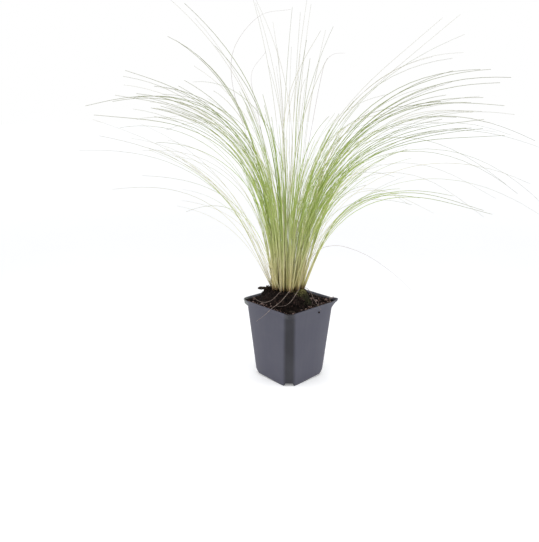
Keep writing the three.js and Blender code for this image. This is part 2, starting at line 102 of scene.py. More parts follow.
def closedGrid(points):  # faces of rings of points that wrap round, with the two ends filled
    rows, columns = points.shape[:2]
    ring = np.arange(columns)[None]
    return [gridFaces(rows, columns), ring[:, ::-1], ring + (rows - 1) * columns]


def addObject(name, data):
    added = bpy.data.objects.new(name, data)
    scene.collection.objects.link(added)
    return added


def makePiece(name, points, faces, material, values=None, smooth=True):
    # faces is a list of arrays, each of faces with the same number of corners
    vertices = points.reshape(-1, 3) * mm
    corners = np.concatenate([f.ravel() for f in faces])
    sizes = np.concatenate([np.full(len(f), f.shape[1]) for f in faces])
    mesh = bpy.data.meshes.new(name)
    mesh.vertices.add(len(vertices))
    mesh.vertices.foreach_set("co", vertices.ravel().astype(np.float32))
    mesh.loops.add(len(corners))
    mesh.loops.foreach_set("vertex_index", corners.astype(np.int32))
    mesh.polygons.add(len(sizes))
    mesh.polygons.foreach_set("loop_start", (np.cumsum(sizes) - sizes).astype(np.int32))
    mesh.polygons.foreach_set("use_smooth", np.full(len(sizes), smooth))
    mesh.update(calc_edges=True)
    for key, value in (values or {}).items():
        layer = mesh.attributes.new(key, "FLOAT", "POINT")
        layer.data.foreach_set("value", value.ravel().astype(np.float32))
    mesh.materials.append(material)
    piece = addObject(name, mesh)
    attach(piece, "root")
    return piece


tubeSides = 3


def tubes(spines, radii, sides=tubeSides):
    # a ring of corners stands round each point of a spine, square to its way there
    count, stations = spines.shape[:2]
    along = unit(np.gradient(spines, axis=1))
    chord = spines[:, -1] - spines[:, 0]
    level = np.stack([-chord[:, 1], chord[:, 0], np.zeros(count) + 1e-6], axis=-1)[:, None]
    across = unit(level - (level * along).sum(-1, keepdims=True) * along)
    upward = np.cross(along, across)
    turn = np.arange(sides) * 2 * np.pi / sides
    ring = (np.cos(turn)[:, None] * across[:, :, None] + np.sin(turn)[:, None] * upward[:, :, None])
    points = spines[:, :, None] + radii[:, :, None, None] * ring
    start = np.arange(count)[:, None, None] * stations * sides
    quads = (gridFaces(stations, sides)[None] + start).reshape(-1, 4)
    fan = np.array([[0, k + 1, k] for k in range(1, sides - 1)])
    last = (stations - 1) * sides
    ends = np.concatenate([fan, last + fan[:, ::-1]])
    return points, [quads, (ends[None] + start).reshape(-1, 3)]


def newGroup(name, inputs, outputs):
    group = bpy.data.node_groups.new(name, "ShaderNodeTree")
    for label, kind, value in inputs:
        socket = group.interface.new_socket(label, in_out="INPUT", socket_type="NodeSocket" + kind)
        socket.default_value = value
    for label, kind in outputs:
        group.interface.new_socket(label, in_out="OUTPUT", socket_type="NodeSocket" + kind)
    return group, group.nodes.new("NodeGroupInput"), group.nodes.new("NodeGroupOutput")


def addNode(tree, kind, settings=None, **inputs):
    # an input, by its name or by its number after "in", is set to a value or linked to a socket
    node = tree.nodes.new("ShaderNode" + kind)
    for key, value in (settings or {}).items():
        setattr(node, key, value)
    for key, value in inputs.items():
        socket = node.inputs[int(key[2:])] if key.startswith("in") else node.inputs[key.replace("_", " ")]
        if isinstance(value, bpy.types.NodeSocket):
            tree.links.new(value, socket)
        else:
            socket.default_value = (*value, 1) if socket.type == "RGBA" else value
    return node


def mixColour(tree, factor, a, b, blend="MIX"):
    settings = {"data_type": "RGBA", "blend_type": blend}
    return addNode(tree, "Mix", settings, in0=factor, in6=a, in7=b).outputs[2]


def reachOver(tree, value, low, high, first=0.0, last=1.0):
    node = addNode(tree, "MapRange", {"clamp": True}, Value=value,
                   From_Min=low, From_Max=high, To_Min=first, To_Max=last)
    return node.outputs[0]


def maths(tree, operation, *values, clamp=False):
    inputs = {f"in{index}": value for index, value in enumerate(values)}
    settings = {"operation": operation, "use_clamp": clamp}
    return addNode(tree, "Math", settings, **inputs).outputs[0]


def vectorMaths(tree, operation, place, other=(0, 0, 0)):
    node = addNode(tree, "VectorMath", {"operation": operation}, in0=place, in1=other)
    return node.outputs["Value"]


def noiseOver(tree, place, scale, detail=2.0, roughness=0.5):
    node = addNode(tree, "TexNoise", Vector=place, Scale=scale, Detail=detail,
                   Roughness=roughness)
    return node.outputs["Fac"]


def drawnOut(tree, place, scale, rotation=(0, 0, 0)):  # noise stretched along one way
    node = addNode(tree, "Mapping", Vector=place, Scale=scale, Rotation=rotation)
    return noiseOver(tree, node.outputs[0], 1.0, 3.0)


def attributeOf(tree, name):
    return addNode(tree, "Attribute", {"attribute_name": name}).outputs["Fac"]


def rampOver(tree, value, stops):
    ramp = addNode(tree, "ValToRGB", Fac=value)
    elements = ramp.color_ramp.elements
    while len(elements) > 1:
        elements.remove(elements[-1])
    for number, (position, colour) in enumerate(stops):
        element = elements.new(position) if number else elements[0]
        element.position, element.color = position, (*colour, 1)
    return ramp.outputs[0]


def makeSpeckle():
    # spots of a chosen size: noise cut at a level, as a mask
    group, given, result = newGroup(
        "speckle", [("Vector", "Vector", (0, 0, 0)), ("Scale", "Float", 400.0), ("Level", "Float", 0.6)],
        [("Mask", "Float")])
    vector, scale, level = given.outputs[:3]
    over = maths(group, "SUBTRACT", noiseOver(group, vector, scale, 3.0), level)
    group.links.new(maths(group, "MULTIPLY", over, 14.0, clamp=True), result.inputs["Mask"])
    return group


def makeMottle():
    # two colours mixed by broad and fine noise
    group, given, result = newGroup(
        "mottle", [("Vector", "Vector", (0, 0, 0)), ("Scale", "Float", 60.0),
                   ("Dark", "Color", (0, 0, 0, 1)), ("Light", "Color", (1, 1, 1, 1))],
        [("Color", "Color"), ("Height", "Float")])
    vector, scale, dark, light = given.outputs[:4]
    noise = noiseOver(group, vector, scale, 8.0, 0.65)
    colour = mixColour(group, reachOver(group, noise, 0.32, 0.68), dark, light)
    group.links.new(colour, result.inputs["Color"])
    group.links.new(noise, result.inputs["Height"])
    return group


speckle = makeSpeckle()
mottle = makeMottle()


def specks(tree, place, scale, level, share):
    node = addNode(tree, "Group", {"node_tree": speckle}, Vector=place, Scale=scale, Level=level)
    return reachOver(tree, node.outputs["Mask"], 0, 1, 0, share)


def mottled(tree, place, scale, dark, light):  # the colour and the height for bumps
    node = addNode(tree, "Group", {"node_tree": mottle}, Vector=place, Scale=scale, Dark=dark, Light=light)
    return node.outputs["Color"], node.outputs["Height"]


def newMaterial(name, roughness, gloss=0.5):
    material = bpy.data.materials.new(name)
    material.use_nodes = True
    tree = material.node_tree
    shader = tree.nodes["Principled BSDF"]
    shader.inputs["Roughness"].default_value = roughness
    shader.inputs["Specular IOR Level"].default_value = gloss
    place = addNode(tree, "TexCoord").outputs["Object"]
    return material, tree, shader, place


def coat(tree, shader, colour, height, strength, distance):  # the colour, and bumps from a height
    tree.links.new(colour, shader.inputs["Base Color"])
    bump = addNode(tree, "Bump", Height=height, Strength=strength, Distance=distance)
    tree.links.new(bump.outputs[0], shader.inputs["Normal"])


rightward = 45  # azimuth of the plant's right
leftward = rightward + 180

tussock = dict(
    shift=4.4, squeeze=0.7, sprawling=0.05, crownRise=1.0, rootDepth=2.4,
    # least and most, or to the left and to the right, and before these to the front and back
    footLean=(2, 7), tipLean=(3, 110), begins=(0.05, -0.02), ends=(1.23, 0.95), length=(344, 360, 470),
    footPower=1.13, archPower=0.4, settled=0.7, outArch=0.47, archPlay=0.23, spread=22.7, spreadPlay=18,
    play=(3.9, 40, 0.18, 0.13),  # of the lean at foot and tip, and of where the bend begins and ends
    spreadDraw=0.5698403, archDraw=0.7548777,  # steps of the evenly spread draws
    draws=(0.2168453, 0.3247179, 0.8191725, 0.6180340),
    fullness=(0.4, 0.05),  # blades at the front and back as a share, and what the right has more
    rings=[dict(count=1, radius=0, crown=3.0, turn=0, blades=15),
           dict(count=5, radius=8.0, crown=3.8, turn=18, blades=31),
           dict(count=10, radius=16.2, crown=4.2, turn=0, blades=38)],
)

pot = dict(
    height=100, wall=1.0,
    footHalf=34.5, footReach=42.0, topHalf=42.4, topReach=54.0,  # reach is to a cut corner
    swell=0.4, swellFrom=94, swellTo=98,  # the sides swell below the lip
    lipHalf=2.1, lipReach=0.4,  # how far the lip stands proud
    # how far each ear stands proud, and where it begins and ends: right, back, left, front
    ear=(6.5, 5.1, 4.0, 5.1), earFoot=(89.6, 90.5, 91.6, 90.5), earTop=(99.5, 99.0, 94.6, 99.0),
    # heights round the lip and what share of it each has, up the outside and down the inside
    lipOut=[(98.3, 0.45), (98.6, 0.85), (99.0, 1.0), (99.4, 1.0), (99.75, 0.96), (99.95, 0.85)],
    lipIn=[(99.9, 0.85), (99.4, 0.75), (98.7, 0.45)],
    blend=3.0, divisions=(14, 9, 7),  # how far a side rounds into the corner strip
    baseUnder=3.5, baseTop=4.7,
    # the underside's rings: shares of the way out and of the base's height, the centre foot first
    under=[(0.0001, 0), (0.238, 0), (0.24, 1), (0.5, 1), (0.8, 1), (1, 1)],
    notchWidth=10.5, notchHeight=3.3, skirtRise=2.4, skirtReach=(8, 38), footCut=6.5, cutFrom=37,
    curl=1.4, curlReach=(52, 60),  # the tip of the right ear is bent up
    # the corner strips' darker colour is painted shade
    side=(0.057, 0.057, 0.084), strip=(0.0165, 0.016, 0.0235), stripHalf=6.0, stripFade=1.9,
    worn=(0.12, 0.12, 0.14), dust=(0.2, 0.19, 0.18), roughness=0.4, gloss=0.4,
    # painted light on the sides towards the left and right corners, and where it begins and ends
    bloom=(0.086, 0.086, 0.113), bloomFrom=(20, 42),
    paleEar=(0.21, 0.225, 0.205), paleEarReach=(6, 12),  # the left ear is paler
    stain=(0.011, 0.010, 0.011),  # painted shade on the inside of the wall, below the lip
)


def cornerQuarter(half, reach, soft):
    # The quarter round one corner at each level: half a side, the bend into the corner strip,
    # the strip, the next bend and half the next side. Soft mixes it with a round arc.
    half, reach, soft = (np.asarray(v, float)[:, None] for v in (half, reach, soft))
    lost = half * np.sqrt(2) - reach  # what the strip cuts off the corner
    leg = lost * np.sqrt(2)
    side, bend, strip = (np.linspace(0, 1, count)[None] for count in pot["divisions"])
    side, strip = side[:, :-1], strip[:, 1:]
    cut = pot["blend"]
    slope = cut / np.sqrt(2)
    edge = half - leg
    x1, y1 = half + 0 * side, mix(0, edge - cut, side)
    first, both, last = (1 - bend) ** 2, 2 * bend * (1 - bend), bend ** 2
    x2 = (first + both) * half + last * (half - slope)
    y2 = first * (edge - cut) + both * edge + last * (edge + slope)
    x3 = mix(half - slope, half - leg / 2, strip)
    y3 = mix(edge + slope, half - leg / 2, strip)
    x, y = np.concatenate([x1, x2, x3], axis=1), np.concatenate([y1, y2, y3], axis=1)
    x, y = np.concatenate([x, y[:, -2::-1]], axis=1), np.concatenate([y, x[:, -2::-1]], axis=1)
    radius = lost / (np.sqrt(2) - 1)
    middle = half - radius
    turn = np.arctan2(y - middle, x - middle)
    inCorner = (y > middle) & (x > middle)
    x = mix(x, np.where(inCorner, middle + radius * np.cos(turn), x), soft)
    y = mix(y, np.where(inCorner, middle + radius * np.sin(turn), y), soft)
    return np.stack([x, y], axis=-1)[:, :-1]


def potWall(z, inset=0.0, lip=0.0):
    # rings at the heights z, growing evenly from the foot, with ears under the rim and the lip
    z = np.asarray(z, float)
    share = z / pot["height"]
    half = mix(pot["footHalf"], pot["topHalf"], share)
    half = half + pot["swell"] * smoothStep(z, pot["swellFrom"], pot["swellTo"]) + pot["lipHalf"] * lip
    quarters = []
    for corner, (ear, low, high) in enumerate(zip(pot["ear"], pot["earFoot"], pot["earTop"])):
        reach = mix(pot["footReach"], pot["topReach"], share) + ear * smoothStep(z, low, high)
        reach = reach + pot["lipReach"] * lip
        soft = smoothStep(z, low - 1, high - 1)
        quarter = cornerQuarter(half - inset, reach - inset, soft)
        for _ in range(corner):
            quarter = np.stack([-quarter[..., 1], quarter[..., 0]], axis=-1)
        quarters.append(quarter)
    ring = np.concatenate(quarters, axis=1)
    return np.concatenate([ring, np.broadcast_to(z[:, None, None], ring.shape[:2] + (1,))], axis=-1)


def makePotPlastic():
    # sides and darker corner strips, told apart by the distance from the diagonals; the strips' darker
    # colour is painted shade on the one plastic
    material, tree, shader, place = newMaterial("satinPotPlastic", pot["roughness"], pot["gloss"])
    apart = addNode(tree, "SeparateXYZ", Vector=place)
    across, beside = (maths(tree, "ABSOLUTE", apart.outputs[axis]) for axis in "XY")
    away = maths(tree, "ABSOLUTE", maths(tree, "SUBTRACT", across, beside))
    edge, fade = (pot[key] * mm * np.sqrt(2) for key in ("stripHalf", "stripFade"))
    # painted shade: the corner strips darker than the sides
    body = mixColour(tree, reachOver(tree, away, edge - fade, edge + fade), pot["strip"], pot["side"])
    broad = noiseOver(tree, place, 26.0, 4.0)
    worn = mixColour(tree, reachOver(tree, broad, 0.45, 0.8, 0, 0.2), body, pot["worn"])
    dusted = mixColour(tree, specks(tree, place, 620.0, 0.68, 0.18), worn, pot["dust"])
    # painted light: the sides grow paler towards the left and right corners, as if lit from near at the
    # sides
    aside = maths(tree, "ABSOLUTE", vectorMaths(tree, "DOT_PRODUCT", place, (*polar(1, rightward), 0)))
    taper = (pot["topReach"] - pot["footReach"]) / pot["height"]
    level = maths(tree, "MULTIPLY_ADD", apart.outputs["Z"], -taper, aside)
    start, end = (reach * mm for reach in pot["bloomFrom"])
    bloom = maths(tree, "POWER", reachOver(tree, level, start, end), 2.0)
    bloomed = mixColour(tree, bloom, dusted, pot["bloom"])
    # the left ear is paler
    ear = (*polar((pot["topReach"] + pot["ear"][2]) * mm, leftward), (pot["height"] - 3) * mm)
    fromEar = vectorMaths(tree, "DISTANCE", place, ear)
    near, far = (reach * mm for reach in pot["paleEarReach"])
    paleEar = mixColour(tree, reachOver(tree, fromEar, near, far, 0.85, 0), bloomed, pot["paleEar"])
    # painted shade on the inside of the wall, in patches
    patches = reachOver(tree, broad, 0.3, 0.6, 0.65, 0.95)
    soiled = maths(tree, "MULTIPLY", attributeOf(tree, "soiled"), patches)
    insideShaded = mixColour(tree, soiled, paleEar, pot["stain"])
    streak = drawnOut(tree, place, (260, 260, 14))
    tree.links.new(reachOver(tree, streak, 0.3, 0.7, 0.38, 0.5), shader.inputs["Roughness"])
    grain = noiseOver(tree, place, 900.0)
    coat(tree, shader, insideShaded, maths(tree, "ADD", grain, streak), 0.1, 0.0002)
    return material


def makePot():
    # One closed surface: from the centre of the underside out to the skirts, round their lower
    # edges, up the outside, over the lip, down the inside and in to the middle of the base.
    lipOut, lipIn = np.array(pot["lipOut"]), np.array(pot["lipIn"])
    plain = np.r_[np.linspace(0, 86, 30), np.linspace(87.5, 98.1, 13)]
    outside = potWall(np.r_[plain, lipOut[:, 0]], 0, np.r_[0 * plain, lipOut[:, 1]])
    plain = np.r_[np.linspace(98, 87.5, 13), np.linspace(86, 6, 20)]
    inside = potWall(np.r_[lipIn[:, 0], plain], pot["wall"], np.r_[lipIn[:, 1], 0 * plain])
    base = potWall([0.0], pot["wall"]) * [1, 1, 0]
    share, rise = np.array(pot["under"]).T[..., None, None]
    under = np.concatenate([base * share + [0, 0, pot["baseUnder"]] * rise, base + [0, 0, 0.3]])
    floorIn = base * np.array([0.985, 0.6, 0.0001])[:, None, None] + [0, 0, pot["baseTop"]]
    rings = np.concatenate([under, outside, inside, floorIn])
    turned = len(under) + len(outside)  # the ring where the inside begins
    x, y, z = np.moveaxis(rings, -1, 0)  # views: what changes z changes the rings

    # the corner strips stop short of the floor
    diagonal = np.abs(np.abs(x) - np.abs(y)) / np.sqrt(2)
    half = pot["notchWidth"] / 2
    inStrip = (1 - smoothStep(diagonal, half - 0.5, half + 0.5)) * (np.hypot(x, y) > 34)
    z[:] = np.maximum(z, pot["notchHeight"] * inStrip)
    # the skirts rise a little towards the left and right corners
    toRight = rings[..., :2] @ polar(1, rightward)
    aside = np.abs(toRight)
    z += pot["skirtRise"] * smoothStep(aside, *pot["skirtReach"]) * np.clip(1 - z / 12, 0, 1)
    # these two corners are cut off slantwise at the foot, the inside a little higher
    cut = pot["footCut"] * np.clip((aside - pot["cutFrom"]) / (pot["footReach"] - pot["cutFrom"]), 0, 1)
    within = np.arange(len(rings))[:, None] >= turned
    z[:] = np.maximum(z, cut + 1.2 * (within & (cut > 0)))
    brink = len(under) - 1  # the underside's edge, which stays below the ring before it
    z[brink] = np.minimum(z[brink], z[brink - 1] - 0.2)
    z += pot["curl"] * smoothStep(toRight, *pot["curlReach"]) * (z > 90)
    # the inside below the lip is marked for painted shade
    soiled = np.zeros(z.shape)
    soiled[turned + len(lipIn):] = 1
    piece = makePiece("nurseryPot", rings, closedGrid(rings), makePotPlastic(),
                      {"soiled": soiled})
    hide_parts("pot")


makePot()
print("pot made")


soil = dict(
    level=96, moundTop=114.5, moundRadius=37, moundSlope=14, moundShift=6, gap=0.3, bank=2.2,
    lumps=[(1.1, 6.5, 1), (0.8, 2.6, 2), (0.45, 1.1, 3)], lumpsLow=0.6,  # height, size and seed
    dark=(0.003, 0.0022, 0.0018), light=(0.019, 0.012, 0.0095), chip=(0.09, 0.05, 0.042),
    gloss=0.1, crumbs=2600, crumbSize=(0.8, 3.0), fibres=320, fibreSteps=7,
    tones=[(0.0, (0.003, 0.002, 0.0016)), (0.4, (0.012, 0.007, 0.0055)),
           (0.66, (0.05, 0.028, 0.023)), (0.85, (0.19, 0.115, 0.10)), (1.0, (0.42, 0.31, 0.28))],
    shade=(0.35, 0.33, 0.32),  # in the hollows of a crumb
)


def soilTop(x, y):  # level by the walls, with the root ball's domed mound in the middle
    centre = polar(soil["moundShift"], leftward)
    away = np.hypot(x - centre[0], y - centre[1]) / soil["moundRadius"]
    rise = 1 - smoothStep(away, 1 - soil["moundSlope"] / soil["moundRadius"], 1)
    dome = 1 - 0.1 * away ** 2
    return soil["level"] + (soil["moundTop"] - soil["level"]) * rise * dome


def byWall(x, y):  # 0 in the middle of the soil, 1 along the walls
    return smoothStep(np.maximum(np.abs(x), np.abs(y)), 30, 40)


def soilRelief(x, y):  # lumps of three sizes, banked up a little and flatter by the walls
    flat = np.stack([x, y, 0 * x], axis=-1)
    lumps = sum(height * latticeNoise(flat, size, seed) for height, size, seed in soil["lumps"])
    lumps = lumps - soil["lumpsLow"]
    return mix(lumps, 0.45 * lumps + soil["bank"], byWall(x, y))


def onSoil(x, y):
    return soilTop(x, y) + soilRelief(x, y)


def makePeat():
    material, tree, shader, place = newMaterial("moistPeat", 0.85, soil["gloss"])
    ground, height = mottled(tree, place, 420.0, soil["dark"], soil["light"])
    colour = mixColour(tree, specks(tree, place, 330.0, 0.6, 0.7), ground, soil["chip"])
    coat(tree, shader, colour, height, 0.8, 0.0008)
    return material


def makeSoil(material):
    # rings up the inside of the pot's wall, then in to the middle over the top of the soil
    inset = pot["wall"] + soil["gap"]
    low = np.concatenate([[5.0, 30, 60, 86], np.linspace(88.5, soil["level"] - 0.8, 6)])
    side = potWall(low, inset)
    shares = np.concatenate([[1.0], np.linspace(0.992, 0.004, 120)])[:, None]
    rim = potWall([soil["level"]], inset)[0]
    x, y = rim[:, 0] * shares, rim[:, 1] * shares
    fade = np.clip((1 - shares) * 14, 0, 1)
    top = np.stack([x, y, soilTop(x, y) + soilRelief(x, y) * fade], axis=-1)
    rings = np.concatenate([side[:1] * [0.001, 0.001, 1], side, top])
    piece = makePiece("peat", rings, closedGrid(rings), material)
    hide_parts("soil")


def scatter(rng, count):  # random places over the soil, within the pot's cut corners
    spot = rng.uniform(-1, 1, (count * 3, 2)) * (pot["topHalf"] - 2)
    spot = spot[np.abs(spot).sum(axis=1) < pot["topReach"] * np.sqrt(2) - 4][:count]
    return np.c_[spot, onSoil(*spot.T)]


def turns(rng, count):  # random rotations, as three square axes each
    first = unit(rng.normal(size=(count, 3)))
    second = unit(np.cross(first, unit(rng.normal(size=(count, 3)))))
    return np.stack([first, second, np.cross(first, second)], axis=1)


def makeCrumbs(material):
    # uneven octahedra, half sunk; paler by the walls and to the right, darker in the middle as painted shade
    # under the grass
    rng = np.random.default_rng(21)
    place = scatter(rng, soil["crumbs"])
    count = len(place)
    least, most = soil["crumbSize"]
    size = 0.5 * least * (most / least) ** rng.random(count) ** 1.6
    tips = np.array([[1, 0, 0], [0, 1, 0], [-1, 0, 0], [0, -1, 0], [0, 0, 1], [0, 0, -1]])
    shape = tips * [1.5, 1.0, 0.75] * (1 + 0.6 * (rng.random((count, len(tips), 1)) - 0.5))
    points = place[:, None] + np.einsum("cpa,cab->cpb", shape * size[:, None, None], turns(rng, count))
    points[..., 2] += 0.25 * size[:, None]
    sides = np.array([[0, 1, 4], [1, 2, 4], [2, 3, 4], [3, 0, 4],
                      [1, 0, 5], [2, 1, 5], [3, 2, 5], [0, 3, 5]])
    faces = (sides[None] + np.arange(count)[:, None, None] * len(tips)).reshape(-1, 3)
    # painted shade: crumbs darker towards the middle, under the grass, and paler by the walls and to the
    # right
    rightness = smoothStep(place[:, :2] @ polar(1, rightward), 5, 40)
    outer = np.maximum(rightness, 0.8 * byWall(place[:, 0], place[:, 1]))
    tone = np.repeat(rng.random(count) * mix(0.56, 1.42, outer), len(tips))
    makePiece("peatCrumbs", points, [faces], material, {"tone": tone}, smooth=False)


def makeFibres(material):
    rng = np.random.default_rng(22)
    place = scatter(rng, soil["fibres"])
    count, steps = len(place), soil["fibreSteps"]
    length = rng.uniform(3, 11, (count, 1))
    turn = rng.uniform(0, 2 * np.pi, (count, 1))
    share = np.linspace(-0.5, 0.5, steps)[None]
    bend = turn + share * rng.normal(0, 1.1, (count, 1))
    x = place[:, :1] + np.cumsum(np.cos(bend), axis=1) * length / steps
    y = place[:, 1:2] + np.cumsum(np.sin(bend), axis=1) * length / steps
    limit = pot["topHalf"] - 1.5
    x, y = np.clip(x, -limit, limit), np.clip(y, -limit, limit)
    z = onSoil(x, y) + 0.35 + 1.2 * rng.random((count, 1)) * (share + 0.5) ** 2
    radii = rng.uniform(0.1, 0.2, (count, 1)) * np.ones((1, steps))
    points, faces = tubes(np.stack([x, y, z], axis=-1), radii)
    tone = 0.3 + 0.6 * rng.random((count, 1, 1)) * np.ones((1, steps, tubeSides))
    makePiece("peatFibres", points, faces, material, {"tone": tone})


def makeCrumbMaterial():
    material, tree, shader, place = newMaterial("peatCrumb", 0.8, soil["gloss"])
    colour = rampOver(tree, attributeOf(tree, "tone"), soil["tones"])
    shade, height = mottled(tree, place, 900.0, soil["shade"], (1, 1, 1))
    coat(tree, shader, mixColour(tree, 1.0, colour, shade, "MULTIPLY"), height, 0.5, 0.0004)
    return material


peat = makePeat()
makeSoil(peat)
crumb = makeCrumbMaterial()
makeCrumbs(crumb)
makeFibres(crumb)
print("soil made")


moss = dict(
    centre=(20.5, 4.5), spread=4.6, count=1200, length=(1.0, 2.8), radius=0.34,
    bright=(0.40, 0.37, 0.125), deep=(0.022, 0.027, 0.009), dry=(0.10, 0.09, 0.02),
    low=0.04, lowTo=107, highFrom=114,  # share of the brightness low on the mound, where the darkness is painted shade, and the heights
)


def makeMoss():
    # short pointed shoots that lean every way, deep green low down and bright at the tip, and darkened low
    # on the mound as painted shade
    rng = np.random.default_rng(23)
    spot = np.array(moss["centre"]) + rng.normal(0, moss["spread"], (moss["count"], 2)) * [0.85, 1.15]
    limit = pot["topHalf"] - 2
    spot = spot[np.abs(spot).max(axis=1) < limit]
    count = len(spot)
    foot = np.c_[spot, onSoil(*spot.T) - 0.3]
    near = np.exp(-((spot - moss["centre"]) ** 2).sum(axis=1) / 90)
    length = mix(*moss["length"], rng.random(count)) * (0.6 + 0.6 * near)
    lean = unit(rng.normal(0, 0.55, (count, 3)) + [0.25, -0.1, 1.0])
    share = np.linspace(0, 1, 4)[None, :, None]
    spine = foot[:, None] + lean[:, None] * share * length[:, None, None]
    radii = moss["radius"] * (1 - 0.85 * share[..., 0] ** 2) * (0.7 + 0.5 * rng.random((count, 1)))
    points, faces = tubes(spine, radii)
    # painted shade: shoots low on the mound are darkened
    high = smoothStep(foot[:, 2], moss["lowTo"], moss["highFrom"])[:, None, None]
    tone = (share * 0.7 + 0.3 * rng.random((count, 1, 1))) * mix(moss["low"], 1, high)
    tone = tone * np.ones((1, 1, tubeSides))
    material, tree, shader, place = newMaterial("mossGreen", 0.75)
    patchy = noiseOver(tree, place, 300.0)
    colour = mixColour(tree, attributeOf(tree, "tone"), moss["deep"], moss["bright"])
    patch = mixColour(tree, reachOver(tree, patchy, 0.4, 0.7, 0, 0.5), colour, moss["dry"])
    coat(tree, shader, patch, patchy, 0.3, 0.0002)
    makePiece("mossCushion", points, faces, material, {"tone": tone})


makeMoss()
print("moss made")


scraps = dict(
    bark=[(0.006, 0.0045, 0.004), (0.04, 0.03, 0.022), (0.09, 0.07, 0.045)],  # dark, light, grain
    pale=[(0.16, 0.11, 0.10), (0.50, 0.42, 0.40), (0.62, 0.56, 0.52)],
    pieces=[  # name, node, look, centre, turn, length, width, thickness, crumple, height of a splinter
        ("barkFlake", "bark_1", "bark", (*polar(34, 228), 114.8), 44, 13.4, 6.0, 3.4, 0.6, 3.8),
        ("barkChip", "bark_2", "bark", (31, -27, 97.1), 20, 8.4, 5.0, 1.6, 0.5, 0),
        ("barkSliver", "bark_3", "bark", (36, 10, 97.0), 100, 7.2, 4.4, 1.4, 0.5, 0),
        ("paleCurl", None, "pale", (33.4, 41.0, 100.9), 30, 6.5, 2.2, 1.2, 0.9, 1.4),
        ("wallCrumb", None, "bark", (42.1, 9.5, 90.7), 90, 2.6, 1.6, 2.2, 0.1, 0),
    ],
)


def makeBarkMaterial(look):
    material, tree, shader, place = newMaterial(f"{look}Bark", 0.8, soil["gloss"])
    dark, light, pale = scraps[look]
    ground, _ = mottled(tree, place, 600.0, dark, light)
    grain = drawnOut(tree, place, (1500, 300, 1500), (0, 0, 0.77))
    colour = mixColour(tree, reachOver(tree, grain, 0.5, 0.7, 0, 0.5), ground, pale)
    coat(tree, shader, colour, grain, 0.7, 0.0005)
    return material


def flake(centre, turn, length, width, thickness, crumple, splinter, seed):
    # a flattened spindle of oval rings, roughened by noise, with a splinter near one end
    u = np.linspace(-1, 1, 34)[:, None]
    v = np.linspace(0, 2 * np.pi, 19)[None, :-1]
    full = np.sqrt(np.clip(1 - np.abs(u) ** 3.2, 0.0004, 1))
    ragged = 1 + 0.28 * latticeNoise(np.stack([u * 6, 0 * u, 0 * u], -1), 1.0, seed)
    x = length / 2 * u + 0 * v
    y = width / 2 * full * ragged * np.cos(v)
    z = thickness / 2 * full * np.sin(v)
    local = np.stack([x, y, z], axis=-1)
    bumps = 0.45 * latticeNoise(local, 1.7, seed + 1) + 0.2 * latticeNoise(local, 0.8, seed + 2)
    local = local * (1 + bumps[..., None] * [0.02, 0.3, 0.7])
    local[..., 2] += crumple * latticeNoise(local * [1, 1, 0], 4.0, seed + 3)
    near = ((local[..., 0] - 0.36 * length) / 0.8) ** 2 + ((local[..., 1] - 0.1 * width) / 1.1) ** 2
    local[..., 2] += splinter * np.exp(-near) * (np.sin(v) > 0)
    angle = np.radians(turn)
    spin = np.array([[np.cos(angle), np.sin(angle), 0], [-np.sin(angle), np.cos(angle), 0], [0, 0, 1]])
    return local @ spin + centre


def makeScraps():
    materials = {look: makeBarkMaterial(look) for look in ("bark", "pale")}
    for seed, (name, node, look, centre, *sizes) in enumerate(scraps["pieces"]):
        points = flake(np.array(centre), *sizes, 40 + 9 * seed)
        piece = makePiece(name, points, closedGrid(points), materials[look])
        if node:
            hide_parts(node)


makeScraps()
print("scraps made")


leaf = dict(
    stations=22, crowd=3.31, shootsEach=2.68, shootSpread=0.42,  # they stand in shoots at the foot
    short=0.82, shortest=0.29, shortTo=0.53, longFrom=0.7, longTo=0.97,  # shares of the full length
    azimuthPlay=4.5, play=(1.6, 2.1, 0.03, 0.03), loose=0.16, loosePlay=2.6, sway=7.0, spare=0.01,
    # those that sprawl low: least and greatest lean at foot and tip, bend and length
    lowLeast=(18, 70, 0.0, 0.95, 200), lowMost=(27, 108, 0.1, 1.05, 340), lowGrown=0.75,
    sheathRadius=0.44, sheathLength=38, bodyRadius=0.27, tipRadius=0.14,
    narrow=0.7, widen=0.9, bold=1.5, seed=2324,
    upTheLeaf=[(0.0, (0.3, 0.16, 0.09)), (0.01, (0.45, 0.27, 0.13)),
               (0.025, (0.75, 0.65, 0.29)), (0.09, (0.8, 0.76, 0.39)),
               (0.17, (0.63, 0.7, 0.26)), (0.28, (0.52, 0.65, 0.165)),
               (0.45, (0.46, 0.57, 0.155)), (0.65, (0.36, 0.42, 0.16)), (1.0, (0.26, 0.28, 0.17))],
    fresh=(0.24, 0.38, 0.05), straw=(0.82, 0.76, 0.49), sheathShade=(0.33, 0.19, 0.09),
    tip=(0.24, 0.24, 0.17), fibre=(0.72, 0.70, 0.40),
)


def squeezed(azimuth):  # a lean's azimuth, drawn towards the plant's left and right
    turn = np.radians(azimuth - rightward)
    return np.degrees(np.arctan2(np.sin(turn) * tussock["squeeze"], np.cos(turn))) + rightward


def placeTufts():
    tufts = []
    centre = polar(tussock["shift"], leftward)
    for ring in tussock["rings"]:
        for i in range(ring["count"]):
            azimuth = rightward + ring["turn"] + 360 * i / ring["count"]
            place = polar(ring["radius"], azimuth) + centre
            toSide = np.cos(np.radians(azimuth - rightward))
            least, more = tussock["fullness"]
            fullness = 1 if ring["count"] == 1 else mix(least, 1, toSide ** 2) + more * toSide
            tufts.append(dict(
                azimuth=azimuth, ring=ring, centre=place,
                top=soilTop(place[0], place[1]) + tussock["crownRise"],
                blades=int(np.floor(ring["blades"] * fullness + 0.5))))
    return tufts


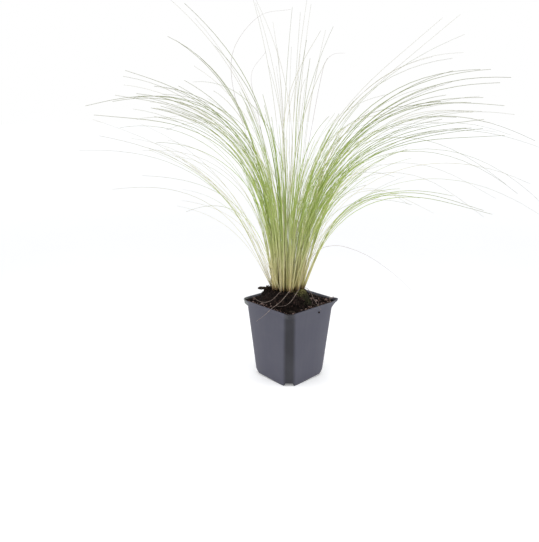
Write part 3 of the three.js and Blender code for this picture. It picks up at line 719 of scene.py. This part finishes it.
def shootShapes(tuft, offset, serial):
    # each shoot's azimuth; its lean at foot and tip, where its bend begins and ends, and its length
    ring = tuft["ring"]
    turn = np.degrees(np.arctan2(offset[:, 1], offset[:, 0]))
    outermost = sum(tussock["rings"][-1][key] for key in ("radius", "crown"))
    outness = np.clip((ring["radius"] + offset @ polar(1, tuft["azimuth"])) / outermost, 0, 1)
    across = offset @ polar(1, tuft["azimuth"] + 90) / ring["crown"]
    spread = tussock["spread"] * across + tussock["spreadPlay"] * (weyl(serial, tussock["spreadDraw"]) - 0.5)
    azimuth = squeezed(turn if ring["count"] == 1 else tuft["azimuth"] + spread)
    side = np.cos(np.radians(azimuth - rightward))
    rightness = (side + 1) / 2
    arch = tussock["settled"] * smoothStep(outness, 0.1, 0.5) + tussock["outArch"] * outness
    arch = np.clip(arch + tussock["archPlay"] * (weyl(serial, tussock["archDraw"]) - 0.5), 0, 1)
    upright = np.stack([
        mix(*tussock["footLean"], rightness) * outness ** tussock["footPower"],
        mix(*tussock["tipLean"], arch ** tussock["archPower"]),
        mix(*tussock["begins"], rightness),
        mix(*tussock["ends"], rightness),
        mix(tussock["length"][0], mix(*tussock["length"][1:], rightness), side ** 2)], axis=1)
    for column, (play, step) in enumerate(zip(tussock["play"], tussock["draws"])):
        upright[:, column] += play * (weyl(serial, step) - 0.5)
    return azimuth, upright


def leafSpines(root, plan, sway, rng):
    # The lean from upright changes smoothly from foot to tip, and the spine is its running sum,
    # with a slow wave to the side. A leaf that would leave the plant's own room stops there.
    fine = 96
    foot, tip, begins, ends, length = (plan["shape"][:, k, None] for k in range(5))
    out, beside = (polar(1, plan["azimuth"] + turn)[:, None] for turn in (0, 90))
    waves = rng.random((len(root), 3, 1)) * [[1.0], [6.28], [0.3]]  # pace, start and offset

    def carry(grown):
        along = np.linspace(0, 1, fine + 1)[None]
        share = (along[:, 1:] - 0.5 / fine) * grown[:, None]
        lean = np.radians(foot + (tip - foot) * smoothStep(share, begins, ends))
        step = length * grown[:, None] / fine
        outward, upward = (np.pad(np.cumsum(part(lean), axis=1) * step, ((0, 0), (1, 0)))
                           for part in (np.sin, np.cos))
        wave = np.sin(along * (3.2 + 2.5 * waves[:, 0]) + waves[:, 1]) - waves[:, 2]
        flat = out * outward[..., None] + beside * (sway * along ** 1.6 * wave)[..., None]
        return np.concatenate([flat, upward[..., None]], axis=-1) + root[:, None]

    path = carry(plan["grown"])
    low, high = (np.array(corner) / mm for corner in cadBox)
    spare = (high - low) * leaf["spare"]
    outside = ((path > high + spare) | (path < low - spare)).any(-1)
    first = np.where(outside.any(1), np.argmax(outside, axis=1), fine)
    grown = plan["grown"] * first / fine
    pick = np.round(np.linspace(0, 1, leaf["stations"]) ** 0.9 * fine).astype(int)
    return carry(grown)[:, pick], np.broadcast_to(pick / fine, (len(root), len(pick))), grown


def smoothPath(points, count):  # a curve through the points, by Catmull and Rom's cubic
    points = np.asarray(points, float)
    padded = np.concatenate([2 * points[:1] - points[1:2], points, 2 * points[-1:] - points[-2:-1]])
    t = np.linspace(0, len(points) - 1, count)
    cell = np.minimum(t.astype(int), len(points) - 2)
    part = (t - cell)[:, None]
    a, b, c, d = (padded[cell + k] for k in range(4))
    return 0.5 * (2 * b + (c - a) * part + (2 * a - 5 * b + 4 * c - d) * part ** 2
                  + (3 * b - a - 3 * c + d) * part ** 3)


strays = dict(  # thin stems that fall over the soil and the rim
    radius=0.27, tip=0.12, stations=60, dark=(0.16, 0.115, 0.10), light=(0.42, 0.33, 0.28),
    paths=[
        [(12, -12, 112.5), (16, -17, 117.5), (18, -25, 114), (19.3, -34, 109.6), (19.2, -42, 106.4),
         (17.6, -48.6, 103.0), (10.4, -49.4, 95.8), (1, -49.5, 87.8), (-9, -49.5, 80)],
        [(5, -19, 112.5), (5.6, -23, 115.3), (6.4, -30, 112), (4, -36, 107.3), (-2.5, -38.5, 104),
         (-11, -38.4, 102.3), (-21, -37, 102.2), (-31, -35, 103)],
        [(14.6, -2, 112.5), (20.5, -3.5, 119), (23.8, -10, 118.4), (25.8, -17, 114.4), (26.4, -24, 109),
         (24.5, -31, 105), (18.5, -35, 103), (11, -35.6, 102.4)],
        [(9.8, 9, 112.5), (16, 12, 116), (24, 12.6, 112), (32.5, 9.4, 106), (41, 5.6, 103),
         (46.6, 3, 101.6), (49, 5.5, 96)],
    ],
    # finer ones that hook over at the tip or arch out low: x, which is also y, and height
    wispWidth=0.62,
    wisps=[
        [(-6, 112), (-21, 230), (-39, 310), (-49, 366), (-46, 404), (-26, 436), (-1, 443)],
        [(-3, 112), (-15, 235), (-28, 330), (-33, 372), (-21, 398)],
        [(1, 112), (8, 230), (19, 330), (25, 376), (28, 388), (34, 395), (43, 396)],
        [(6, 112), (21, 158), (39, 170), (64, 160), (88, 138), (108, 113)],
    ],
)


def makeLeafGreen():
    # reach is the distance up the leaf over 400 mm, from red-brown over straw and yellow-green to
    # grey-green; tint tells fresh from dry, inner the middle of the plant, where the feet take painted
    # shade in sheath brown, tip how far it faded
    material, tree, shader, place = newMaterial("featherGrassLeaf", 0.55)
    reach, tip, tint, inner = (attributeOf(tree, key) for key in ("reach", "tip", "tint", "inner"))
    green = rampOver(tree, reach, leaf["upTheLeaf"])
    fresh = mixColour(tree, reachOver(tree, tint, 0, 0.45, 0.55, 0), green, leaf["fresh"])
    straw = mixColour(tree, reachOver(tree, tint, 0.62, 0.80, 0, 0.9), fresh, leaf["straw"])
    # painted shade in sheath brown at the feet of the leaves in the middle of the plant
    wrapped = maths(tree, "MULTIPLY", inner, reachOver(tree, reach, 0.01, 0.09, 0.5, 0))
    footed = mixColour(tree, wrapped, straw, leaf["sheathShade"])
    grey = mixColour(tree, reachOver(tree, tip, 0.55, 1, 0, 0.75), footed, leaf["tip"])
    fibre = noiseOver(tree, place, 700.0)
    colour = mixColour(tree, reachOver(tree, fibre, 0.35, 0.7, 0, 0.15), grey, leaf["fibre"])
    coat(tree, shader, colour, fibre, 0.2, 0.0001)
    return material


locks = dict(
    play=(0.8, 3.0, 0.015, 0.02), azimuthPlay=3.0, tintPlay=0.1, spread=0.7, shorter=0.2,
    within=4.5,  # how far from a tuft's middle a bundle stands
    # side of the plant (-1 is left), place of the root to that side and to the back, lean at foot
    # and tip, where the bend begins and ends, length, leaves, and tint from fresh to dry
    bundles=[
        (-1, 4, -8, 5, 52, 0.28, 1.08, 366, 2, 0.1), (-1, 14, -6, 9, 100, 0.3, 1.5, 345, 3, 0.1),
        (-1, 10, 4, 9, 72, 0.2, 1.02, 352, 4, 0.3), (-1, 18, 0, 2, 107, 0.14, 1.04, 395, 4, 0.2),
        (-1, 14, 5, 9, 80, 0.18, 0.96, 345, 4, 0.6), (-1, 16, -6, 9, 84, 0.17, 0.92, 350, 4, 0.3),
        (-1, 19, 3, 22, 72, 0.08, 1.0, 316, 2, 0.9), (-1, 19, -4, 18, 84, 0.14, 1.1, 276, 2, 0.8),
        (-1, 20, -2, 23, 68, 0.18, 1.07, 238, 4, 0.7), (-1, 4, 6, 6, 58, 0.15, 1.25, 400, 2, 0.9),
        (-1, 20, 3, 10, 96, 0.12, 1.1, 270, 3, 0.8), (-1, 6, -12, 3, 16, 0.3, 1.2, 240, 6, 0.2),
        (-1, 9, -10, 5, 26, 0.3, 1.2, 250, 5, 0.3), (-1, 3, -14, 1, 8, 0.3, 1.2, 205, 6, 0.3),
        (-1, 2, 2, 3, 24, 0.3, 1.4, 362, 2, 0.9), (-1, -1, -4, 0, 30, 0.35, 1.2, 350, 1, 0.9),
        (1, 0, -13, 3, 18, 0.3, 1.2, 190, 5, 0.4), (1, 3, -12, 6, 34, 0.3, 1.2, 225, 5, 0.2),
        (1, -6, 4, 1, 12, 0.3, 1.4, 345, 2, 0.8), (1, 2, 0, 2, 9, 0.6, 0.95, 298, 2, 0.5),
        (1, -4, -3, -1, 28, 0.5, 0.95, 316, 2, 0.7),
        (1, 2, 5, 12, 92, 0.14, 1.1, 390, 5, 0.2), (1, 8, -6, 10, 92, 0.16, 0.98, 385, 5, 0.2),
        (1, 10, -8, 4, 84, 0.0, 0.9, 350, 6, 0.0), (1, 5, 2, 6, 53, 0.19, 1.4, 245, 3, 0.4),
        (1, -2, 6, 8, 50, 0.15, 0.8, 395, 2, 0.9), (1, 0, 7, 8, 120, 0.18, 1.45, 385, 2, 0.9),
        (1, 14, 3, 9, 119, 0.1, 0.9, 345, 2, 0.9), (1, 16, -2, 20, 104, 0.06, 0.88, 290, 3, 0.4),
        (1, 16, -3, 21, 98, 0.22, 1.06, 205, 4, 0.4), (1, 15, 3, 18, 118, 0.3, 0.87, 245, 2, 0.8),
        (1, 15, 0, 13, 40, 0.2, 1.2, 190, 6, 0.3), (1, 15, -4, 12, 34, 0.2, 1.2, 160, 5, 0.4),
        (-1, 20, 0, 10, 30, 0.2, 1.2, 175, 4, 0.4), (1, 1, 2, 1, 6, 0.5, 1.2, 336, 3, 0.9),
        (-1, 2, 3, 2, 12, 0.45, 1.3, 318, 3, 0.9), (1, 3, -2, 3, 17, 0.45, 1.1, 310, 3, 0.9),
    ],
)


def planRule(tuft, firstShoot, rng):
    # Leaves rise in shoots, whose feet stand in a sunflower spiral, and take the shoot's lean and
    # bend with some play and their own share of its length. A few of the outermost sprawl low.
    total, ring = tuft["blades"], tuft["ring"]
    shoots = max(3, int(round(np.sqrt(total) * leaf["shootsEach"] / 2)))
    index = np.arange(shoots)
    spot = polar(leaf["crowd"] * np.sqrt((index + 0.5) / shoots), index * 137.508 + tuft["azimuth"])
    if ring["count"] == 1:
        spot = spot * ring["crown"] / leaf["crowd"]
    azimuth, shape = shootShapes(tuft, spot * ring["crown"] / leaf["crowd"], firstShoot + 1 + index)
    chosen = np.arange(total) % shoots
    loose = rng.random(total) < leaf["loose"]
    play = np.where(loose, leaf["loosePlay"], 1.0)[:, None] * rng.normal(0, 1, (total, 4))
    azimuth = azimuth[chosen] + leaf["azimuthPlay"] * play[:, 3]
    shape = shape[chosen]
    shape[:, :4] += np.c_[play[:, :3], play[:, 2]] * leaf["play"]
    draw = rng.permutation((np.arange(total) + 0.5) / total)
    young = leaf["shortest"] + (leaf["shortTo"] - leaf["shortest"]) * draw / leaf["short"]
    old = (leaf["longTo"] - leaf["longFrom"]) * (draw - leaf["short"]) / (1 - leaf["short"])
    grown = np.where(draw < leaf["short"], young, leaf["longFrom"] + old)
    low = (ring is tussock["rings"][-1]) & (rng.random(total) < tussock["sprawling"])
    shape = np.where(low[:, None], rng.uniform(leaf["lowLeast"], leaf["lowMost"], (total, 5)), shape)
    grown = np.where(low, rng.uniform(leaf["lowGrown"], 1.0, total), grown)
    foot = tuft["centre"] + spot[chosen] + rng.normal(0, leaf["shootSpread"], (total, 2))
    tint = 0.62 * rng.random(total) + 0.38 * weyl(chosen + firstShoot, 0.618034)
    width = leaf["narrow"] + leaf["widen"] * rng.random(total) ** 2
    return shoots, dict(foot=foot, azimuth=azimuth, shape=shape, grown=grown, tint=tint, width=width,
                        dry=low * 1.0)


def planLocks(tufts, rng):
    # each bundle belongs to the tuft whose crown is nearest to its foot
    plans = [[] for _ in tufts]
    centres = np.array([tuft["centre"] for tuft in tufts])
    for side, aside, back, foot, tip, begins, ends, length, count, tint in locks["bundles"]:
        azimuth = rightward if side > 0 else leftward
        middle = polar(aside, azimuth) + polar(back, rightward + 90)
        number = int(np.argmin(np.hypot(*(centres - middle).T)))
        apart = max(np.hypot(*(middle - centres[number])), 1e-6)
        middle = mix(centres[number], middle, min(1, locks["within"] / apart))
        shape = np.array([foot, tip, begins, ends, length]) * np.ones((count, 1))
        shape[:, :4] += rng.normal(0, 1, (count, 4)) * locks["play"]
        plans[number].append(dict(
            foot=middle + rng.normal(0, locks["spread"], (count, 2)),
            azimuth=azimuth + locks["azimuthPlay"] * rng.normal(0, 1, count), shape=shape,
            grown=1 - locks["shorter"] * rng.random(count) * (np.arange(count) > 0),
            tint=np.clip(tint + locks["tintPlay"] * rng.normal(0, 1, count), 0, 1),
            width=np.full(count, mix(leaf["bold"], leaf["narrow"], smoothStep(tint, 0.4, 0.9))),
            dry=np.full(count, smoothStep(tint, 0.7, 0.9))))
    return plans


def growLeaves(plan, top, rng):
    # wide where the leaves are wrapped at the foot, slender above and thin to the tip
    total = len(plan["azimuth"])
    root = np.c_[plan["foot"], np.full(total, top - tussock["rootDepth"])]
    sway = leaf["sway"] * plan["grown"][:, None] * rng.random((total, 1))
    spines, along, grown = leafSpines(root, plan, sway, rng)
    distance = along * plan["shape"][:, 4:] * grown[:, None]
    wrapped = 1 - smoothStep(distance, 8, leaf["sheathLength"])
    wrapped = (leaf["sheathRadius"] - leaf["bodyRadius"]) * wrapped
    body = mix(leaf["bodyRadius"], leaf["tipRadius"], smoothStep(along, 0.6, 1.1)) * plan["width"][:, None]
    centre = polar(tussock["shift"], leftward)
    # inner: how much painted shade a leaf's foot takes, by how near the middle of the plant it stands
    inner = np.clip(1.5 - np.hypot(*(plan["foot"] - centre).T) / 12, 0, 1)
    old = smoothStep(plan["shape"][:, 4] * grown, 190, 320)[:, None]
    dry = plan["dry"][:, None] * smoothStep(distance, 50, 190)
    faded = mix(along * mix(0.62, 1, old), 0.62 + 0.38 * along, dry)
    values = {"reach": distance / 400, "tip": faded, "tint": plan["tint"][:, None] + 0 * along,
              "inner": inner[:, None] + 0 * along}
    return spines, wrapped + body, values


def allLeaves():
    rng = np.random.default_rng(leaf["seed"])
    tufts = placeTufts()
    lockPlans = planLocks(tufts, np.random.default_rng(leaf["seed"] + 1))
    shootCount = 0
    for number, tuft in enumerate(tufts):
        shoots, plan = planRule(tuft, shootCount, rng)
        shootCount += shoots
        plans = [plan] + lockPlans[number]
        whole = {key: np.concatenate([part[key] for part in plans]) for key in plan}
        yield number + 1, growLeaves(whole, tuft["top"], rng)


def makeLeaves(material):
    leafCount = 0
    for number, (spines, radii, values) in allLeaves():
        points, faces = tubes(spines, radii)
        values = {key: np.repeat(value[..., None], tubeSides, axis=-1) for key, value in values.items()}
        piece = makePiece(f"leaves_{number:02d}", points, faces, material, values)
        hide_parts(f"tuft_{number:02d}")
        leafCount += len(spines)
    print("leaves made:", leafCount)


def makeStrays():
    material, tree, shader, place = newMaterial("dryStem", 0.7)
    colour, height = mottled(tree, place, 160.0, strays["dark"], strays["light"])
    coat(tree, shader, colour, height, 0.2, 0.0001)
    paths = strays["paths"] + [[(aside, aside, z) for aside, z in path] for path in strays["wisps"]]
    spines = np.stack([smoothPath(path, strays["stations"]) for path in paths])
    share = np.linspace(0, 1, strays["stations"])[None]
    width = np.where(np.arange(len(paths)) < len(strays["paths"]), 1, strays["wispWidth"])[:, None]
    radii = mix(strays["radius"], strays["tip"], smoothStep(share, 0.4, 1)) * width
    points, faces = tubes(spines, radii, 6)
    makePiece("fallenStems", points, faces, material)


makeStrays()
makeLeaves(makeLeafGreen())


camera = dict(distance=800, height=362, azimuth=45, pitch=15.72, yaw=1.84, focal=664.4, frameSide=542)
studio = dict(
    lights=[  # name, azimuth, height and distance in metres, size and power
        ("leftSoftbox", leftward + 10, 0.35, 0.55, 0.5, 0.8),
        ("rightSoftbox", rightward - 10, 0.35, 0.55, 0.5, 0.8),
        ("topSoftbox", rightward - 90, 1.8, 0.5, 1.6, 6.0)],
    sky=0.9, front=0.35, aimHeight=0.2,
    floorRadius=6, floorCorners=96, floorLevel=-0.0002, floorGlow=0.25, glowReach=5,
    # share of the floor's glow, by the distance in metres from the plant
    glowStops=[(0.0, 1.0), (0.12, 1.0), (0.3, 0.25), (0.66, 0.32), (1.34, 0.66), (2.5, 0.92), (5.0, 1.0)],
)


def aim(placed, direction):
    placed.rotation_mode = "QUATERNION"
    placed.rotation_quaternion = direction.to_track_quat("-Z", "Y")


def makeCamera():
    lens = bpy.data.cameras.new("frontCamera")
    lens.sensor_width = 36
    lens.lens = lens.sensor_width * camera["focal"] / camera["frameSide"]
    lens.clip_start, lens.clip_end = 0.01, 50
    eye = addObject("frontCamera", lens)
    turn = np.radians(camera["azimuth"])
    eye.location = Vector((np.sin(turn), -np.cos(turn), 0)) * camera["distance"] * mm
    eye.location.z = camera["height"] * mm
    heading, pitch = np.radians(camera["azimuth"] + camera["yaw"]), np.radians(camera["pitch"])
    aim(eye, Vector((-np.sin(heading) * np.cos(pitch), np.cos(heading) * np.cos(pitch), -np.sin(pitch))))
    scene.camera = eye


def makeFloor():
    mesh = bpy.data.meshes.new("studioFloor")
    corners = studio["floorCorners"]
    x, y = studio["floorRadius"] * polar(1, 360 * np.arange(corners) / corners).T
    points = np.stack([x, y, np.full(corners, studio["floorLevel"])], axis=-1)
    mesh.from_pydata(points.tolist(), [], [list(range(corners))])
    material, tree, shader, place = newMaterial("paleFloor", 0.9)
    colour = mixColour(tree, noiseOver(tree, place, 8.0), (0.93, 0.93, 0.93), (0.95, 0.95, 0.95))
    tree.links.new(colour, shader.inputs["Base Color"])
    away = reachOver(tree, vectorMaths(tree, "LENGTH", place), 0, studio["glowReach"])
    stops = [(reach / studio["glowReach"], (glow, glow, glow)) for reach, glow in studio["glowStops"]]
    tree.links.new(rampOver(tree, away, stops), shader.inputs["Emission Color"])
    shader.inputs["Emission Strength"].default_value = studio["floorGlow"]
    mesh.materials.append(material)
    floor = addObject("studioFloor", mesh)


def makeLight(name, azimuth, height, distance, size, power):
    light = bpy.data.lights.new(name, "AREA")
    light.shape, light.size, light.size_y = "RECTANGLE", size, size
    light.energy = power
    lamp = addObject(name, light)
    lamp.location = Vector((*polar(distance, azimuth), height))
    aim(lamp, Vector((0, 0, studio["aimHeight"])) - lamp.location)


def makeWorld():
    # even white light from all round, weaker from the front
    world = bpy.data.worlds.new("studioWorld")
    world.use_nodes = True
    tree = world.node_tree
    sky = tree.nodes["Background"]
    direction = addNode(tree, "TexCoord").outputs["Generated"]
    facing = vectorMaths(tree, "DOT_PRODUCT", direction, (*polar(1, rightward - 90), 0))
    level = reachOver(tree, facing, 0.55, 0.95, studio["sky"], studio["front"])
    tree.links.new(level, sky.inputs["Strength"])
    sky.inputs["Color"].default_value = (0.97, 0.98, 1.0, 1)
    seen = addNode(tree, "Background", Color=(1, 1, 1), Strength=1.0)
    path = addNode(tree, "LightPath")
    both = addNode(tree, "MixShader", in0=path.outputs["Is Camera Ray"],
                   in1=sky.outputs[0], in2=seen.outputs[0])
    tree.links.new(both.outputs[0], tree.nodes["World Output"].inputs["Surface"])
    scene.world = world
    scene.view_settings.view_transform = "Standard"


makeCamera()
makeFloor()
for light in studio["lights"]:
    makeLight(*light)
makeWorld()
print("studio made")
